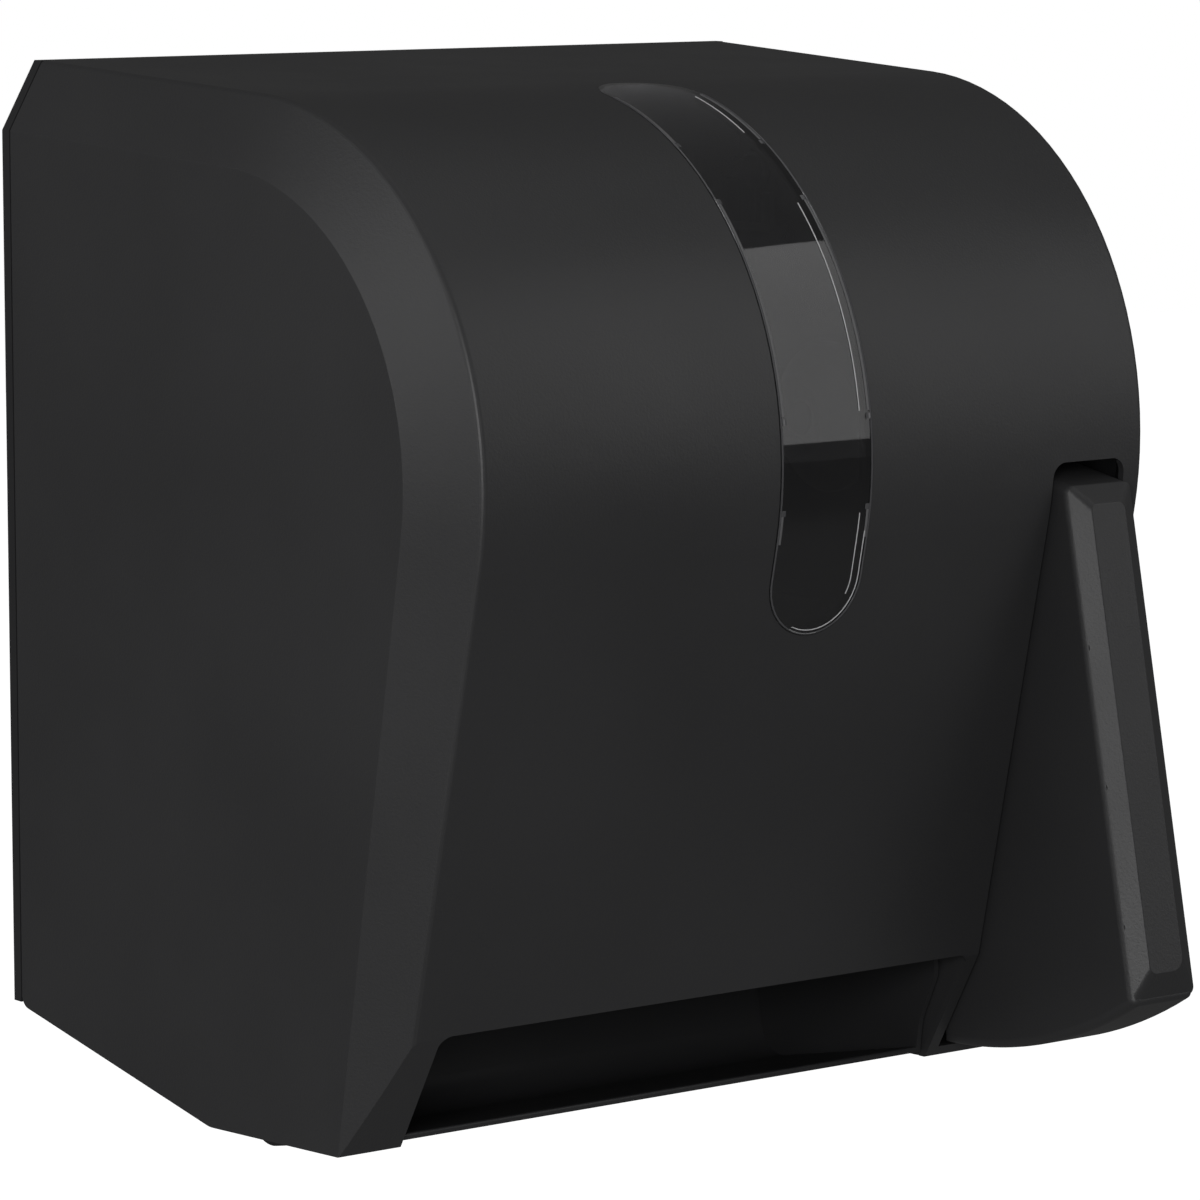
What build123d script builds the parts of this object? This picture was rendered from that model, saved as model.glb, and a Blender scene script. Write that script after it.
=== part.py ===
from build123d import *
import os
from math import acos, asin, atan2, cos, degrees, hypot, pi, radians, sin, sqrt, tan

# Lever paper towel dispenser for one hard-wound roll, fixed to a wall.
# Millimetres. X runs along the wall, the wall is the plane Y = 0 and the dispenser stands out
# towards -Y, Z is up. Heights are drawn from the lowest front edge of the cover, and every
# piece is lowered by mount_height when it is written, so that the part's origin is the centre
# of its four wall screw holes, on the wall.

# ---------------------------------------------------------------- driving dimensions
# Cover
cover_width = 335.0          # across the back edge of the side walls
cover_height = 359.1         # top edge at the back
cover_wall = 2.6
side_draft = 2.25            # degrees, each side wall leans in towards the front
nose_radius = 125.0          # round between top and front
nose_depth = 128.2           # nose centre from the wall
top_slope = 3.1              # degrees, the top falls towards the front
front_slope = 12.3           # degrees, the front runs back towards its foot
corner_drop = 24.2           # chamfer between side and front, measured square to the front
corner_width = 13.7          # the same chamfer, measured along X
corner_foot_slope = 9.65     # degrees, side edge of the chamfer below the nose
side_edge_round = 1.0        # edge between side and chamfer
front_edge_round = 2.5       # edge between chamfer and front
edge_steps = 4               # flats in each rounded edge
bend_height = 41.4           # where the front turns back under
undercut_run = 23.72         # from the bend back to the toe, the lowest front edge
undercut_round = 0.6
heel_height = 23.15          # bottom edge of the side wall at the wall
heel_round = 4.5
belly_run = 73.1             # from the toe back to the lowest point of the side wall
belly_drop = 2.5             # how far that point lies under the toe
belly_round = 14.0
seam_gap = 0.4               # between cover and back plate

# Back plate and wall screws
plate_thick = 4.6
flange_thick = 2.2
flange_depth = 7.0
flange_fit = 1.0             # between the flange and the inside of the cover
rib_thick = 2.4
rib_depth = 3.0
rib_margin = 4.0             # from the lower edge
rib_side = 25.5              # outer left rib from the cover's side
rib_inset = 26.2             # inner ribs from the wall screws
mount_height = 190.0
mount_span_x = 152.4
mount_span_z = 203.2
mount_hole_radius = 2.75
mount_boss_wall = 5.05
mount_boss_height = 2.0

# Cover hinge and lock
hinge_depth = 26.0
hinge_height = 27.0
hinge_pin_radius = 3.0
hinge_boss_radius = 7.0
hinge_boss_reach = 3.2       # how far the cover's boss stands in from its wall
hinge_gap = 0.4
hinge_ear_thick = 4.5
lock_depth = 24.0
lock_from_top = 47.1
lock_barrel_radius = 8.0
lock_barrel_reach = 9.0      # inside the cover's wall
lock_head_thick = 1.4
lock_head_rim = 2.5
lock_plug_radius = 5.5
lock_cam_reach = 19.0
lock_cam_thick = 2.0
strike_thick = 2.0
strike_drop = 30.0           # its screw under the lock

# Window in the cover
window_width = 40.6
window_foot_drop = 59.12     # lowest point of the slot under the nose centre
window_head_angle = 5.0      # degrees forward of upright, seen from the nose centre
window_fit = 0.15
window_lip = 5.0             # how far the window reaches behind the cover
window_lip_thick = 2.0
window_wall = 2.0
retainer_thick = 1.8
retainer_ledge = 1.7         # retainer edge inside the slot

# Paper outlet in the cover
outlet_side = 33.1           # left edge from the cover's side
outlet_rib = 4.7             # strip between the outlet and the lever's pocket
outlet_round = 4.5

# Lever pocket in the cover
pocket_side = 31.3           # right edge from the cover's side
pocket_width = 33.2
pocket_round = 5.5
pocket_rail = 3.6            # strip of the cover left under the lever
pocket_headroom = 8.0        # above the lever's top edge
pocket_edge = 0.8            # thickness left at the pocket's upper edge
pocket_liner = 2.0           # wall and floor behind the opening
pocket_liner_inset = 0.5     # its wall from the outlet
pocket_liner_depth = 34.0

# Lever
lever_gap_left = 2.4
lever_gap_right = 1.4
lever_wall = 2.4
lever_pivot_reach = 61.8     # pivot in front of the nose centre
lever_pivot_drop = 27.223    # and under it
lever_throw = 20.0           # degrees
lever_stand = 4.2            # top edge in front of the cover's nose
lever_top_rise = 12.8        # top edge over the pivot
lever_top_slope = 10.4       # degrees
lever_face_slope = 11.7      # degrees, front leans out towards its foot
lever_sole_radius = 195.4    # underside, about the pivot
lever_heel_reach = 1.7       # heel in front of the cover's toe
lever_rib_first = 25.4       # lowest rib over the toe
lever_rib_pitch = 48.0
lever_ribs = 3
lever_rib_thick = 2.0
lever_sole_round = 3.4       # edge between underside and sides
lever_toe_round = 2.2
lever_sill = 10.0            # wall left over the heel at the back
bar_thick = 4.3              # raised bar on the lever's front
bar_side_bevel = 4.8
bar_inner_bevel = 7.9
bar_top_bevel = 7.1
bar_foot_bevel = 9.2
bar_foot_gap = 0.8           # bar above the lever's toe
bar_edge_round = 0.7
pivot_pin_radius = 4.0
lever_hub_radius = 9.0
peg_radius = 2.0             # pegs that key the sector to the lever
peg_reach = 15.0             # beyond the hub
sector_gap = 3.2             # between lever and sector

# Gears
gear_module = 1.25
pinion_teeth = 20
gear_backlash = 0.16
gear_angle = 20.0            # degrees, pressure angle
sector_width = 6.0
sector_margin = 4            # teeth beyond the travel
pinion_width = 7.0
mesh_angle = 25.0            # degrees behind straight down, pivot to feed shaft
feed_height = 78.78

# Feed roller, pinch roller
roller_gap = 4.2             # between drum and frame
feed_radius = 19.0
drum_radius = 17.0
drum_wall = 3.0
drum_web = 4.0
sleeve_width = 44.0
sleeve_margin = 6.0          # from the end sleeve to the drum's end
groove_pitch = 4.6
groove_width = 1.2
groove_depth = 0.5
shaft_radius = 4.0
shaft_fit = 0.05             # running clearance on every shaft, on the radius
bush_wall = 2.0
bush_flange = 1.2
knob_radius = 15.0
knob_width = 12.0
knob_rim = 3.0
knob_flutes = 16
flute_radius = 1.5
pinch_radius = 9.0
pinch_shaft_radius = 3.0
pinch_angle = 30.0           # degrees behind straight down, feed shaft to pinch shaft
pinch_gap = 0.3              # room for the paper
pinch_travel = 1.5
pinch_block = 10.0
pinch_spring_room = 8.0
slide_fit = 0.1
clutch_radius = 7.0
clutch_hub_wall = 2.4

# Side frames
frame_behind_rib = 0.8       # inner frames from the pocket's left edge
frame_thick = 2.2
outer_frame_gap = 4.0        # between sector and outer frame
foot_width = 14.0
foot_thick = 2.4
foot_margin = 14.0
foot_holes = (62.0, 128.0)
shelf_thick = 2.0
shelf_width = 5.0
tie_radius = 3.0
tie_collar = 1.5

# Roll holder
roll_room = 0.7              # roll's end face inside the frame
core_radius = 19.0
hub_reach = 14.0
hub_flange_radius = 28.0
hub_flange_thick = 2.5
hub_gap = 0.5
hub_ribs = 3
hub_rib_thick = 2.4
arm_thick = 4.0
arm_height = 30.0
arm_groove = 1.4
arm_groove_height = 14.0
arm_groove_front = 30.0      # behind the roll's axis
arm_groove_back = 88.0
arm_screw_pitch = 20.0
arm_pin_depth = 8.0          # from the back plate
arm_pin_radius = 2.5
arm_knuckle_radius = 5.0
arm_ear_gap = 1.0
arm_ear_thick = 5.0
arm_ear_width = 12.0
arm_ear_reach = 14.0
arm_spring_thick = 0.6
arm_spring_foot = 26.0       # length of the foot on the back plate
arm_spring_step = 7.0        # from the bend out to the arm
arm_spring_tip = (52.0, 62.0)  # where the spring lies on the arm
arm_spring_height = 10.0
arm_spring_screw = 19.0
axle_radius = 4.0
axle_head = 2.2

# Chute and tear bar
chute_wall = 2.2
chute_cheek = 2.0
chute_gap_left = 0.8         # inside the outlet
chute_gap_right = 1.0
chute_lip_back = 1.4         # lip behind the cover's toe
chute_lip_height = 4.0
chute_run = 88.5             # from the lip back to the floor
chute_floor_drop = 14.6
chute_rise = 10.0            # from the floor back to the rear wall
chute_back_height = 40.0
chute_ledge_drop = 1.5       # ledge that carries the chute, under the guide
chute_ear_height = 14.0
guide_setback = 11.62        # behind the bend
guide_length = 46.0
guide_height = 44.5
guide_rise = 15.5
guide_wall = 2.4
guide_end = 2.2
tear_thick = 0.8
tear_tooth = 3.0
tear_drop = 2.2
tear_screw_side = 22.2       # outer blade screws from the frame
tear_screw_drop = 6.0

# Fasteners and springs
screw_radius = 1.75
screw_fit = 0.05             # between a screw and its hole, on the radius
screw_head_radius = 3.4
screw_head_thick = 2.0
screw_bite = 2.2             # thread beyond the sheet it holds
wire_radius = 0.8
return_coil_radius = 10.3    # to the middle of the wire
return_coil_pitch = 2.6
return_coil_turns = 4
spring_leg = 34.0
spring_leg_angle = 159.0     # degrees, where the long leg leaves the coil
spring_peg_radius = 2.5
stop_radius = 4.0
stop_reach = 58.0
small_wire_radius = 0.45
small_coil_radius = 1.9
small_coil_turns = 5
clip_groove = 0.6
clip_thick = 1.0
clip_width = 3.4
clip_back = 1.0              # from the frame or the bush's flange

# ---------------------------------------------------------------- places worked out from them
half_width = cover_width / 2
nose_y = -nose_depth
top_lean = radians(top_slope)
front_lean = radians(front_slope)
nose_rise = (nose_radius + (nose_depth - plate_thick) * sin(top_lean)) / cos(top_lean)
nose_z = cover_height - nose_rise
roll = (nose_y, nose_z)
cover_back = -(plate_thick + seam_gap)
below_everything = -40.0
beyond = 60.0                # how far a cutting shape reaches past the cover
above_everything = cover_height + beyond
far_front = -(nose_depth + nose_radius + beyond)
brow = (nose_y - nose_radius * cos(front_lean), nose_z - nose_radius * sin(front_lean))
bend_depth = -brow[0] - (brow[1] - bend_height) * tan(front_lean)
toe_depth = bend_depth - undercut_run
belly_depth = toe_depth - belly_run
lock = (-lock_depth, cover_height - lock_from_top)
hinge = (-hinge_depth, hinge_height)

# across the dispenser, from its right side inwards
pocket_right = half_width - pocket_side
pocket_left = pocket_right - pocket_width
outlet_right = pocket_left - outlet_rib
outlet_left = outlet_side - half_width
lever_left = pocket_left + lever_gap_left
lever_right = pocket_right - lever_gap_right
lever_middle = (lever_left + lever_right) / 2
frame_left = pocket_left - frame_behind_rib
frame_right = frame_left + frame_thick
sector_left = lever_right + sector_gap
sector_right = sector_left + sector_width
outer_frame = sector_right + outer_frame_gap
outer_frame_right = outer_frame + frame_thick
chute_left = outlet_left + chute_gap_left
chute_right = outlet_right - chute_gap_right
roller_length = 2 * (frame_left - roller_gap)
sleeve_pitch = (roller_length - sleeve_width) / 2 - sleeve_margin
hub_face = frame_left - roll_room + hub_gap
arm_inner = hub_face + hub_flange_thick + hub_gap
arm_outer = arm_inner + arm_thick

# lever and gears
pivot = (nose_y - lever_pivot_reach, nose_z - lever_pivot_drop)
gear_drop = pivot[1] - feed_height
sector_teeth = round(2 * gear_drop / cos(radians(mesh_angle)) / gear_module) - pinion_teeth
centre_distance = gear_module * (pinion_teeth + sector_teeth) / 2
mesh_lean = acos(gear_drop / centre_distance)
feed = (pivot[0] + centre_distance * sin(mesh_lean), feed_height)
sector_root = gear_module * (sector_teeth / 2 - 1.25)
lever_top = (nose_y - nose_radius - lever_stand, pivot[1] + lever_top_rise)
heel_turn = asin((-toe_depth - lever_heel_reach - pivot[0]) / lever_sole_radius)
face_lean = radians(lever_face_slope)
face_reach = (pivot[0] - lever_top[0]) * cos(face_lean) + (lever_top[1] - pivot[1]) * sin(face_lean)
toe_turn = -face_lean - asin(face_reach / lever_sole_radius)
pocket_height = lever_top[1] + pocket_headroom

# paper path
pinch_lean = radians(pinch_angle)
pinch_way = (sin(pinch_lean), -cos(pinch_lean))
pinch_distance = feed_radius + pinch_radius + pinch_gap
pinch = (feed[0] + pinch_distance * pinch_way[0], feed[1] + pinch_distance * pinch_way[1])
guide_front = bend_depth - guide_setback
guide_back = guide_front - guide_length
guide_top = guide_height + guide_rise
chute_ledge_height = guide_height - chute_ledge_drop
chute_lip_depth = toe_depth - chute_lip_back
chute_floor_depth = chute_lip_depth - chute_run
chute_back_depth = chute_floor_depth - chute_rise
tear_screw_places = (tear_screw_side - frame_left, 0, frame_left - tear_screw_side)

# fasteners
screw_hole = screw_radius + screw_fit
tie_rod = (roll[0] - hub_flange_radius - 4.0, roll[1] - 13.0)
pin_x = -(arm_inner + arm_thick / 2)
pin_y = -plate_thick - arm_pin_depth
arm_screw_heights = (roll[1] - arm_screw_pitch / 2, roll[1] + arm_screw_pitch / 2)
rib_places = (
    rib_side - half_width, rib_inset - mount_span_x / 2, 0.0, mount_span_x / 2 - rib_inset,
    (frame_right + outer_frame) / 2)


# ---------------------------------------------------------------- drawing helpers
def outline(*corners):
    """Closed face in local x, y. A corner is (x, y) or (x, y, radius)."""
    count = len(corners)
    ends = []
    for i, corner in enumerate(corners):
        here = Vector(corner[0], corner[1])
        before = Vector(*corners[i - 1][:2])
        after = Vector(*corners[(i + 1) % count][:2])
        radius = corner[2] if len(corner) > 2 else 0.0
        if radius == 0.0:
            ends.append((here, here, None))
            continue
        back = (before - here).normalized()
        ahead = (after - here).normalized()
        half = radians(back.get_angle(ahead)) / 2
        reach = radius / tan(half)
        centre = here + (back + ahead).normalized() * (radius / sin(half))
        middle = centre + (here - centre).normalized() * radius
        ends.append((here + back * reach, here + ahead * reach, middle))
    edges = []
    for i, (start, finish, middle) in enumerate(ends):
        if middle is not None:
            edges.append(ThreePointArc(start, middle, finish))
        edges.append(Line(finish, ends[(i + 1) % count][0]))
    return make_face(edges)


def across(face, low, high):
    """Solid of a face drawn in (Y, Z), running along X from low to high."""
    return extrude(Plane.YZ.offset(low) * face, high - low)


def disc(place, radius, low, high):
    """Round bar along X."""
    return across(Pos(*place) * Circle(radius), low, high)


def ring(place, outer, inner, low, high):
    """Round tube along X."""
    return across(Pos(*place) * (Circle(outer) - Circle(inner)), low, high)


def block(low, high):
    """Box between two corners."""
    size = [b - a for a, b in zip(low, high)]
    middle = [(a + b) / 2 for a, b in zip(low, high)]
    return Pos(*middle) * Box(*size)


def along(start, way, length, radius):
    """Round bar from a point, along a direction."""
    return extrude(Plane(origin=start, z_dir=way) * Circle(radius), length)


def mirrored(shape):
    """The same shape on the other side of the middle."""
    return mirror(shape, about=Plane.YZ)


def screw(start, way, length):
    """Pan head screw. The head's underside is at start and the shank runs along way."""
    shank = along(start, way, length, screw_radius)
    out = Vector(*way) * -1
    head = along(start, out, screw_head_thick, screw_head_radius)
    drive = along(Vector(*start) + out * screw_head_thick, way, screw_head_thick / 2, screw_radius / 2)
    return shank + head - drive


def coil(plane, radius, wire, turns, pitch, start_angle):
    """Open coil about the plane's normal, starting at start_angle in the plane."""
    spine = Helix(pitch=pitch, height=pitch * turns, radius=radius)
    section = Plane(origin=spine @ 0, z_dir=spine % 0) * Circle(wire)
    return plane * Rot(0, 0, start_angle) * sweep(section, path=spine, is_frenet=True)


def write(node, shape):
    """One STEP file for one piece, or for one group of like pieces."""
    solids = shape.solids()
    placed = Pos(0, 0, -mount_height) * (solids[0] if len(solids) == 1 else Compound(children=solids))
    export_step(placed, f"parts/{node}.step")


# ---------------------------------------------------------------- the cover's outer form
def cover_section(drop, slope, back):
    """Side view of the cover, drawn a given drop inside its front surface."""
    radius = nose_radius - drop
    lean = radians(slope)
    crown = (nose_y - radius * sin(top_lean), nose_z + radius * cos(top_lean))
    brow = (nose_y - radius * cos(lean), nose_z - radius * sin(lean))
    turn = (radians(90 + top_slope) + radians(180 + slope)) / 2
    middle = (nose_y + radius * cos(turn), nose_z + radius * sin(turn))
    back_top = (back, crown[1] + (back - crown[0]) * tan(top_lean))
    foot = (brow[0] + (brow[1] - below_everything) * tan(lean), below_everything)
    heel = (back, below_everything)
    return make_face([
        Line(heel, back_top), Line(back_top, crown), ThreePointArc(crown, middle, brow),
        Line(brow, foot), Line(foot, heel),
    ])


def plain_corner(skin):
    """Side and front edge of the corner chamfer, as (shift from the side, drop from the front, slope)."""
    slant = hypot(corner_drop, corner_width)
    side_drop = corner_drop + skin * (slant - corner_drop) / corner_width
    front_shift = corner_width + skin * (slant - corner_width) / corner_drop
    return [(skin, side_drop, corner_foot_slope), (front_shift, skin, front_slope)]


def round_corner():
    """The same two edges, each rounded in a few steps."""
    lean = atan2(corner_width, corner_drop)
    stations = []
    for shift, drop, ahead, turn, radius in (
        (0.0, corner_drop, Vector(0, -1), lean, side_edge_round),
        (corner_width, 0.0, Vector(sin(lean), -cos(lean)), pi / 2 - lean, front_edge_round),
    ):
        inwards = Vector(-ahead.Y, ahead.X)
        start = Vector(shift, drop) - ahead * (radius * tan(turn / 2))
        for step in range(edge_steps + 1):
            angle = turn * step / edge_steps
            place = start + ahead * (radius * sin(angle)) + inwards * (radius * (1 - cos(angle)))
            share = min(place.X / corner_width, 1.0)
            slope = corner_foot_slope + (front_slope - corner_foot_slope) * share
            stations.append((place.X, place.Y, slope))
    return stations


def cover_form(corner, back):
    """Everything inside a surface of the cover, drawn through the stations of its two corners."""
    draft = radians(side_draft)
    sections = []
    for side, stations in ((-1, corner), (1, corner[::-1])):
        for shift, drop, slope in stations:
            plane = Plane(
                origin=(side * (half_width - shift), 0, 0),
                x_dir=(side * sin(draft), cos(draft), 0),
                z_dir=(cos(draft), -side * sin(draft), 0),
            )
            sections.append(plane * cover_section(drop, slope, back))
    return loft(sections, ruled=True)


def undercut_line(skin):
    """Two points of the underside that runs from the bend back to the toe, moved in by a skin."""
    bend = (-bend_depth, bend_height)
    toe = (-toe_depth, 0.0)
    run = Vector(bend[0] - toe[0], bend[1] - toe[1]).normalized()
    inwards = Vector(run.Y, -run.X) * skin
    return Vector(*toe) + inwards, Vector(*bend) + inwards, run


def side_view():
    """What is left of the cover seen from the side: back edge, underside and rounded heel."""
    toe, bend, run = undercut_line(0)
    far = toe + run * ((toe.X - far_front) / -run.X)
    heel_rise = (heel_height + belly_drop) / belly_depth
    heel = (cover_back, heel_height + cover_back * heel_rise, heel_round)
    belly = (-belly_depth, -belly_drop, belly_round)
    return outline(
        (cover_back, above_everything), (far_front, above_everything), (far.X, far.Y),
        (toe.X, toe.Y, undercut_round), belly, heel,
    )


def slot(width, low_skin, high_skin):
    """Rounded slot over the nose, cut out of the layer between two skins of the cover."""
    half = width / 2
    out = Vector(0, -cos(front_lean), -sin(front_lean))
    nose = Vector(0, nose_y, nose_z)
    drop = window_foot_drop / cos(front_lean) - window_width / 2 - nose_radius * tan(front_lean)
    foot = nose + out * nose_radius + Vector(0, sin(front_lean), -cos(front_lean)) * drop
    head_turn = radians(90 + window_head_angle) + window_width / 2 / nose_radius
    head_out = Vector(0, cos(head_turn), sin(head_turn))
    reach = nose_radius * 1.5
    wedge = make_face(Polyline(
        (nose.Y, nose.Z), ((nose + head_out * reach).Y, (nose + head_out * reach).Z),
        (far_front, above_everything), ((foot + out * reach).Y, (foot + out * reach).Z),
        ((foot - out * reach / 2).Y, (foot - out * reach / 2).Z), close=True))
    cutter = across(wedge, -half, half)
    for centre, way in ((foot, out), (nose + head_out * nose_radius, head_out)):
        cutter += along(centre - way * half, way, 3 * half, half)
    layer = cover_form(plain_corner(low_skin), cover_back) - cover_form(plain_corner(high_skin), cover_back + 10)
    return layer & cutter


def inside_x(y):
    """Half the width inside the cover's side walls at a given depth."""
    return half_width - cover_wall + y * tan(radians(side_draft))


strike_screw = (inside_x(lock[0]) - 16.0, lock[1] - strike_drop)


# ---------------------------------------------------------------- cover pieces
def pocket_liner_walls():
    """Wall beside the lever and floor under it, inside the cover."""
    left = outlet_right + pocket_liner_inset
    wall = block(
        (left, far_front, -belly_depth), (left + pocket_liner, -belly_depth - pocket_liner_depth, guide_height - 2.5))
    floor_top = pocket_rail - 1.0
    return wall + block(
        (left, -toe_depth - 1, floor_top - pocket_liner), (pocket_right + 1, -toe_depth + pocket_liner_depth, floor_top))


def cover_shell():
    toe, bend, run = undercut_line(cover_wall)
    cavity = cover_form(plain_corner(cover_wall), cover_back + 10)
    ahead = toe + run * ((toe.X - far_front) / -run.X)
    behind = toe - run * 60
    in_front = make_face(Polyline(
        (behind.X, behind.Y), (ahead.X, ahead.Y), (far_front, behind.Y), close=True))
    cavity -= across(in_front, -half_width, half_width)
    form = cover_form(round_corner(), cover_back)
    shell = form - cavity + (pocket_liner_walls() & form)
    shell &= across(side_view(), -half_width, half_width)

    outer_toe, outer_bend, run = undercut_line(0)
    out = (0, -run.Y, run.X)
    middle = (outlet_left + outlet_right) / 2
    opening = outline(
        (outlet_left - middle, -90), (outlet_right - middle, -90),
        (outlet_right - middle, 0, outlet_round), (outlet_left - middle, 0, outlet_round))
    on_undercut = Plane(origin=(middle, outer_bend.X, outer_bend.Y), x_dir=(1, 0, 0), z_dir=out)
    if on_undercut.y_dir.Z < 0:
        on_undercut = Plane(origin=on_undercut.origin, x_dir=(-1, 0, 0), z_dir=out)
        opening = mirror(opening, about=Plane.YZ)
    shell -= extrude(on_undercut * opening, 12, both=True)

    middle = (pocket_left + pocket_right) / 2
    half = (pocket_right - pocket_left) / 2
    pocket = outline(
        (-half, pocket_rail), (half, pocket_rail),
        (half, pocket_height, pocket_round), (-half, pocket_height, pocket_round))
    from_front = Plane(origin=(middle, far_front, 0), x_dir=(1, 0, 0), z_dir=(0, 1, 0))
    if from_front.y_dir.Z < 0:
        from_front = Plane(origin=(middle, far_front, 0), x_dir=(-1, 0, 0), z_dir=(0, 1, 0))
    lip = nose_y - sqrt(nose_radius ** 2 - (pocket_height - nose_z) ** 2) + pocket_edge
    relief = across(
        make_face(Polyline(
            (lip, pivot[1]), (lip, pocket_height + pocket_edge), (lip + 9, pocket_height + pocket_edge + 9),
            (lip + 9, pivot[1]), close=True)),
        lever_left, lever_right)
    shell -= extrude(from_front * pocket, toe_depth * 0.9)
    shell -= relief

    shell -= slot(window_width, 0, cover_wall * 1.2)
    for side in (-1, 1):
        wall = side * (inside_x(hinge[0]) + cover_wall * 0.45)
        rim = side * (inside_x(hinge[0]) - hinge_boss_reach)
        low, high = sorted((wall, rim))
        shell += disc(hinge, hinge_boss_radius, low, high)
        low, high = sorted((wall - side * 0.2, rim - side))
        shell -= disc(hinge, hinge_pin_radius + shaft_fit, low, high)
    shell -= disc(lock, lock_barrel_radius, inside_x(lock[0]) - 5, half_width + 5)
    return shell


def viewing_window():
    pane = slot(window_width - 2 * window_fit, 0, cover_wall)
    lip_low = cover_wall + 0.05
    rim = slot(window_width + 2 * window_lip, lip_low, cover_wall + window_lip_thick)
    rim -= slot(window_width - 2 * window_wall, cover_wall - 0.6, cover_wall + window_lip_thick + 1)
    neck = slot(window_width - 2 * window_fit, cover_wall - 0.5, cover_wall + 0.5)
    neck -= slot(window_width - 2 * window_wall, cover_wall - 1.5, cover_wall + 1.5)
    return pane + neck + rim


def window_retainer():
    low = cover_wall + window_lip_thick + 0.1
    frame = slot(window_width + 2 * window_lip + 4, low, low + retainer_thick)
    return frame - slot(window_width - 2 * retainer_ledge, low - 1, low + retainer_thick + 1)


def lock_barrel():
    head = lock_barrel_radius + lock_head_rim
    face = half_width + (lock[0] + head) * tan(radians(side_draft)) + 0.05
    inner = inside_x(lock[0]) - lock_barrel_reach
    barrel = disc(lock, lock_barrel_radius, inner, face)
    barrel += disc(lock, head, face, face + lock_head_thick)
    nut_high = inside_x(lock[0]) - 0.8
    barrel += disc(lock, lock_barrel_radius + 3, nut_high - 3, nut_high)
    return barrel - disc(lock, lock_plug_radius + shaft_fit, inner - 1, face + 3)


def lock_plug():
    face = half_width + lock[0] * tan(radians(side_draft)) + 1.2
    inner = inside_x(lock[0]) - 12.5
    keyway = block((face - 6, lock[0] - 1, lock[1] - 3.6), (face + 1, lock[0] + 1, lock[1] + 3.6))
    return disc(lock, lock_plug_radius, inner, face) - keyway


def lock_cam():
    right = inside_x(lock[0]) - lock_barrel_reach - 0.4
    blade = outline(
        (lock[0] - 6.5, lock[1] - 4, 3), (lock[0] + lock_cam_reach, lock[1] - 4, 2),
        (lock[0] + lock_cam_reach, lock[1] + 4, 2), (lock[0] - 6.5, lock[1] + 4, 3))
    hole = disc(lock, lock_plug_radius, right - 3, right + 1)
    hub = disc(lock, lock_plug_radius + 2, right - lock_cam_thick, right)
    return across(blade, right - lock_cam_thick, right) + hub - hole


# ---------------------------------------------------------------- back plate and its fittings
def plate_edge(shrink):
    """Outline of the back plate in (X, Z), moved in by shrink."""
    side = half_width - shrink
    slant = hypot(corner_drop, corner_width)
    side_top = cover_height - corner_drop - shrink * (slant - corner_drop) / corner_width
    corner_in = half_width - corner_width - shrink * (slant - corner_width) / corner_drop
    return [(-side, heel_height + shrink), (side, heel_height + shrink), (side, side_top),
            (corner_in, cover_height - shrink), (-corner_in, cover_height - shrink), (-side, side_top)]


def upright(face, back, front):
    """Solid of a face drawn in (X, Z), from depth back to depth front."""
    plane = Plane(origin=(0, -back, 0), x_dir=(1, 0, 0), z_dir=(0, -1, 0))
    return extrude(plane * face, front - back)


def back_plate():
    plate = upright(outline(*plate_edge(0.0)), 0, plate_thick)
    shrink = cover_wall + flange_fit
    collar = outline(*plate_edge(shrink)) - outline(*plate_edge(shrink + flange_thick))
    collar -= Pos(0, heel_height) * Rectangle(cover_width, 2 * (hinge_height + 10 - heel_height))
    plate += upright(collar, plate_thick, plate_thick + flange_depth)
    for x in rib_places:
        plate += block(
            (x - rib_thick / 2, -plate_thick - rib_depth, heel_height + rib_margin),
            (x + rib_thick / 2, -plate_thick, cover_height - corner_drop - rib_margin - 1.8))

    ear = outline(
        (-plate_thick, hinge_height + 9), (hinge[0] - 8, hinge_height + 9, 7),
        (hinge[0] - 8, hinge_height - 8, 7), (-plate_thick, heel_height))
    for side in (-1, 1):
        inner = side * (inside_x(hinge[0]) - hinge_boss_reach - hinge_gap)
        low, high = sorted((inner, inner - side * hinge_ear_thick))
        plate += across(ear, low, high)
        plate -= disc(hinge, hinge_pin_radius, low - 1, high + 1)

    for x in (-mount_span_x / 2, mount_span_x / 2):
        for z in (-mount_span_z / 2, mount_span_z / 2):
            place = (x, 0, mount_height + z)
            plate += along(
                place, (0, -1, 0), plate_thick + mount_boss_height, mount_hole_radius + mount_boss_wall)
            plate -= along((x, 1, mount_height + z), (0, -1, 0), 20, mount_hole_radius)

    # ears that carry the upright pin of the left roll arm
    half = arm_height / 2 + arm_ear_gap
    for z in (roll[1] - half - arm_ear_thick, roll[1] + half):
        plate += block(
            (pin_x - arm_ear_width / 2, -plate_thick - arm_ear_reach, z),
            (pin_x + arm_ear_width / 2, -plate_thick, z + arm_ear_thick))
    plate -= along((pin_x, pin_y, roll[1] - arm_height), (0, 0, 1), 2 * arm_height, arm_pin_radius)
    for place in foot_screws():
        plate -= along((place[0], 0.5, place[1]), (0, -1, 0), 20, screw_hole)
    return plate


def foot_screws():
    """Place in (X, Z) and clamped thickness of each screw that goes into the back plate."""
    left = -(frame_right + foot_width / 2)
    inner = frame_right + foot_width / 2
    outer = outer_frame - foot_width / 2
    screws = [(x, z, foot_thick) for x in (left, inner, outer) for z in foot_holes]
    screws += [(arm_outer + foot_width / 2, z, foot_thick) for z in arm_screw_heights]
    screws += [(strike_screw[0], strike_screw[1], strike_thick)]
    return screws + [(-arm_outer - arm_spring_screw, roll[1], arm_spring_thick)]


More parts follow.
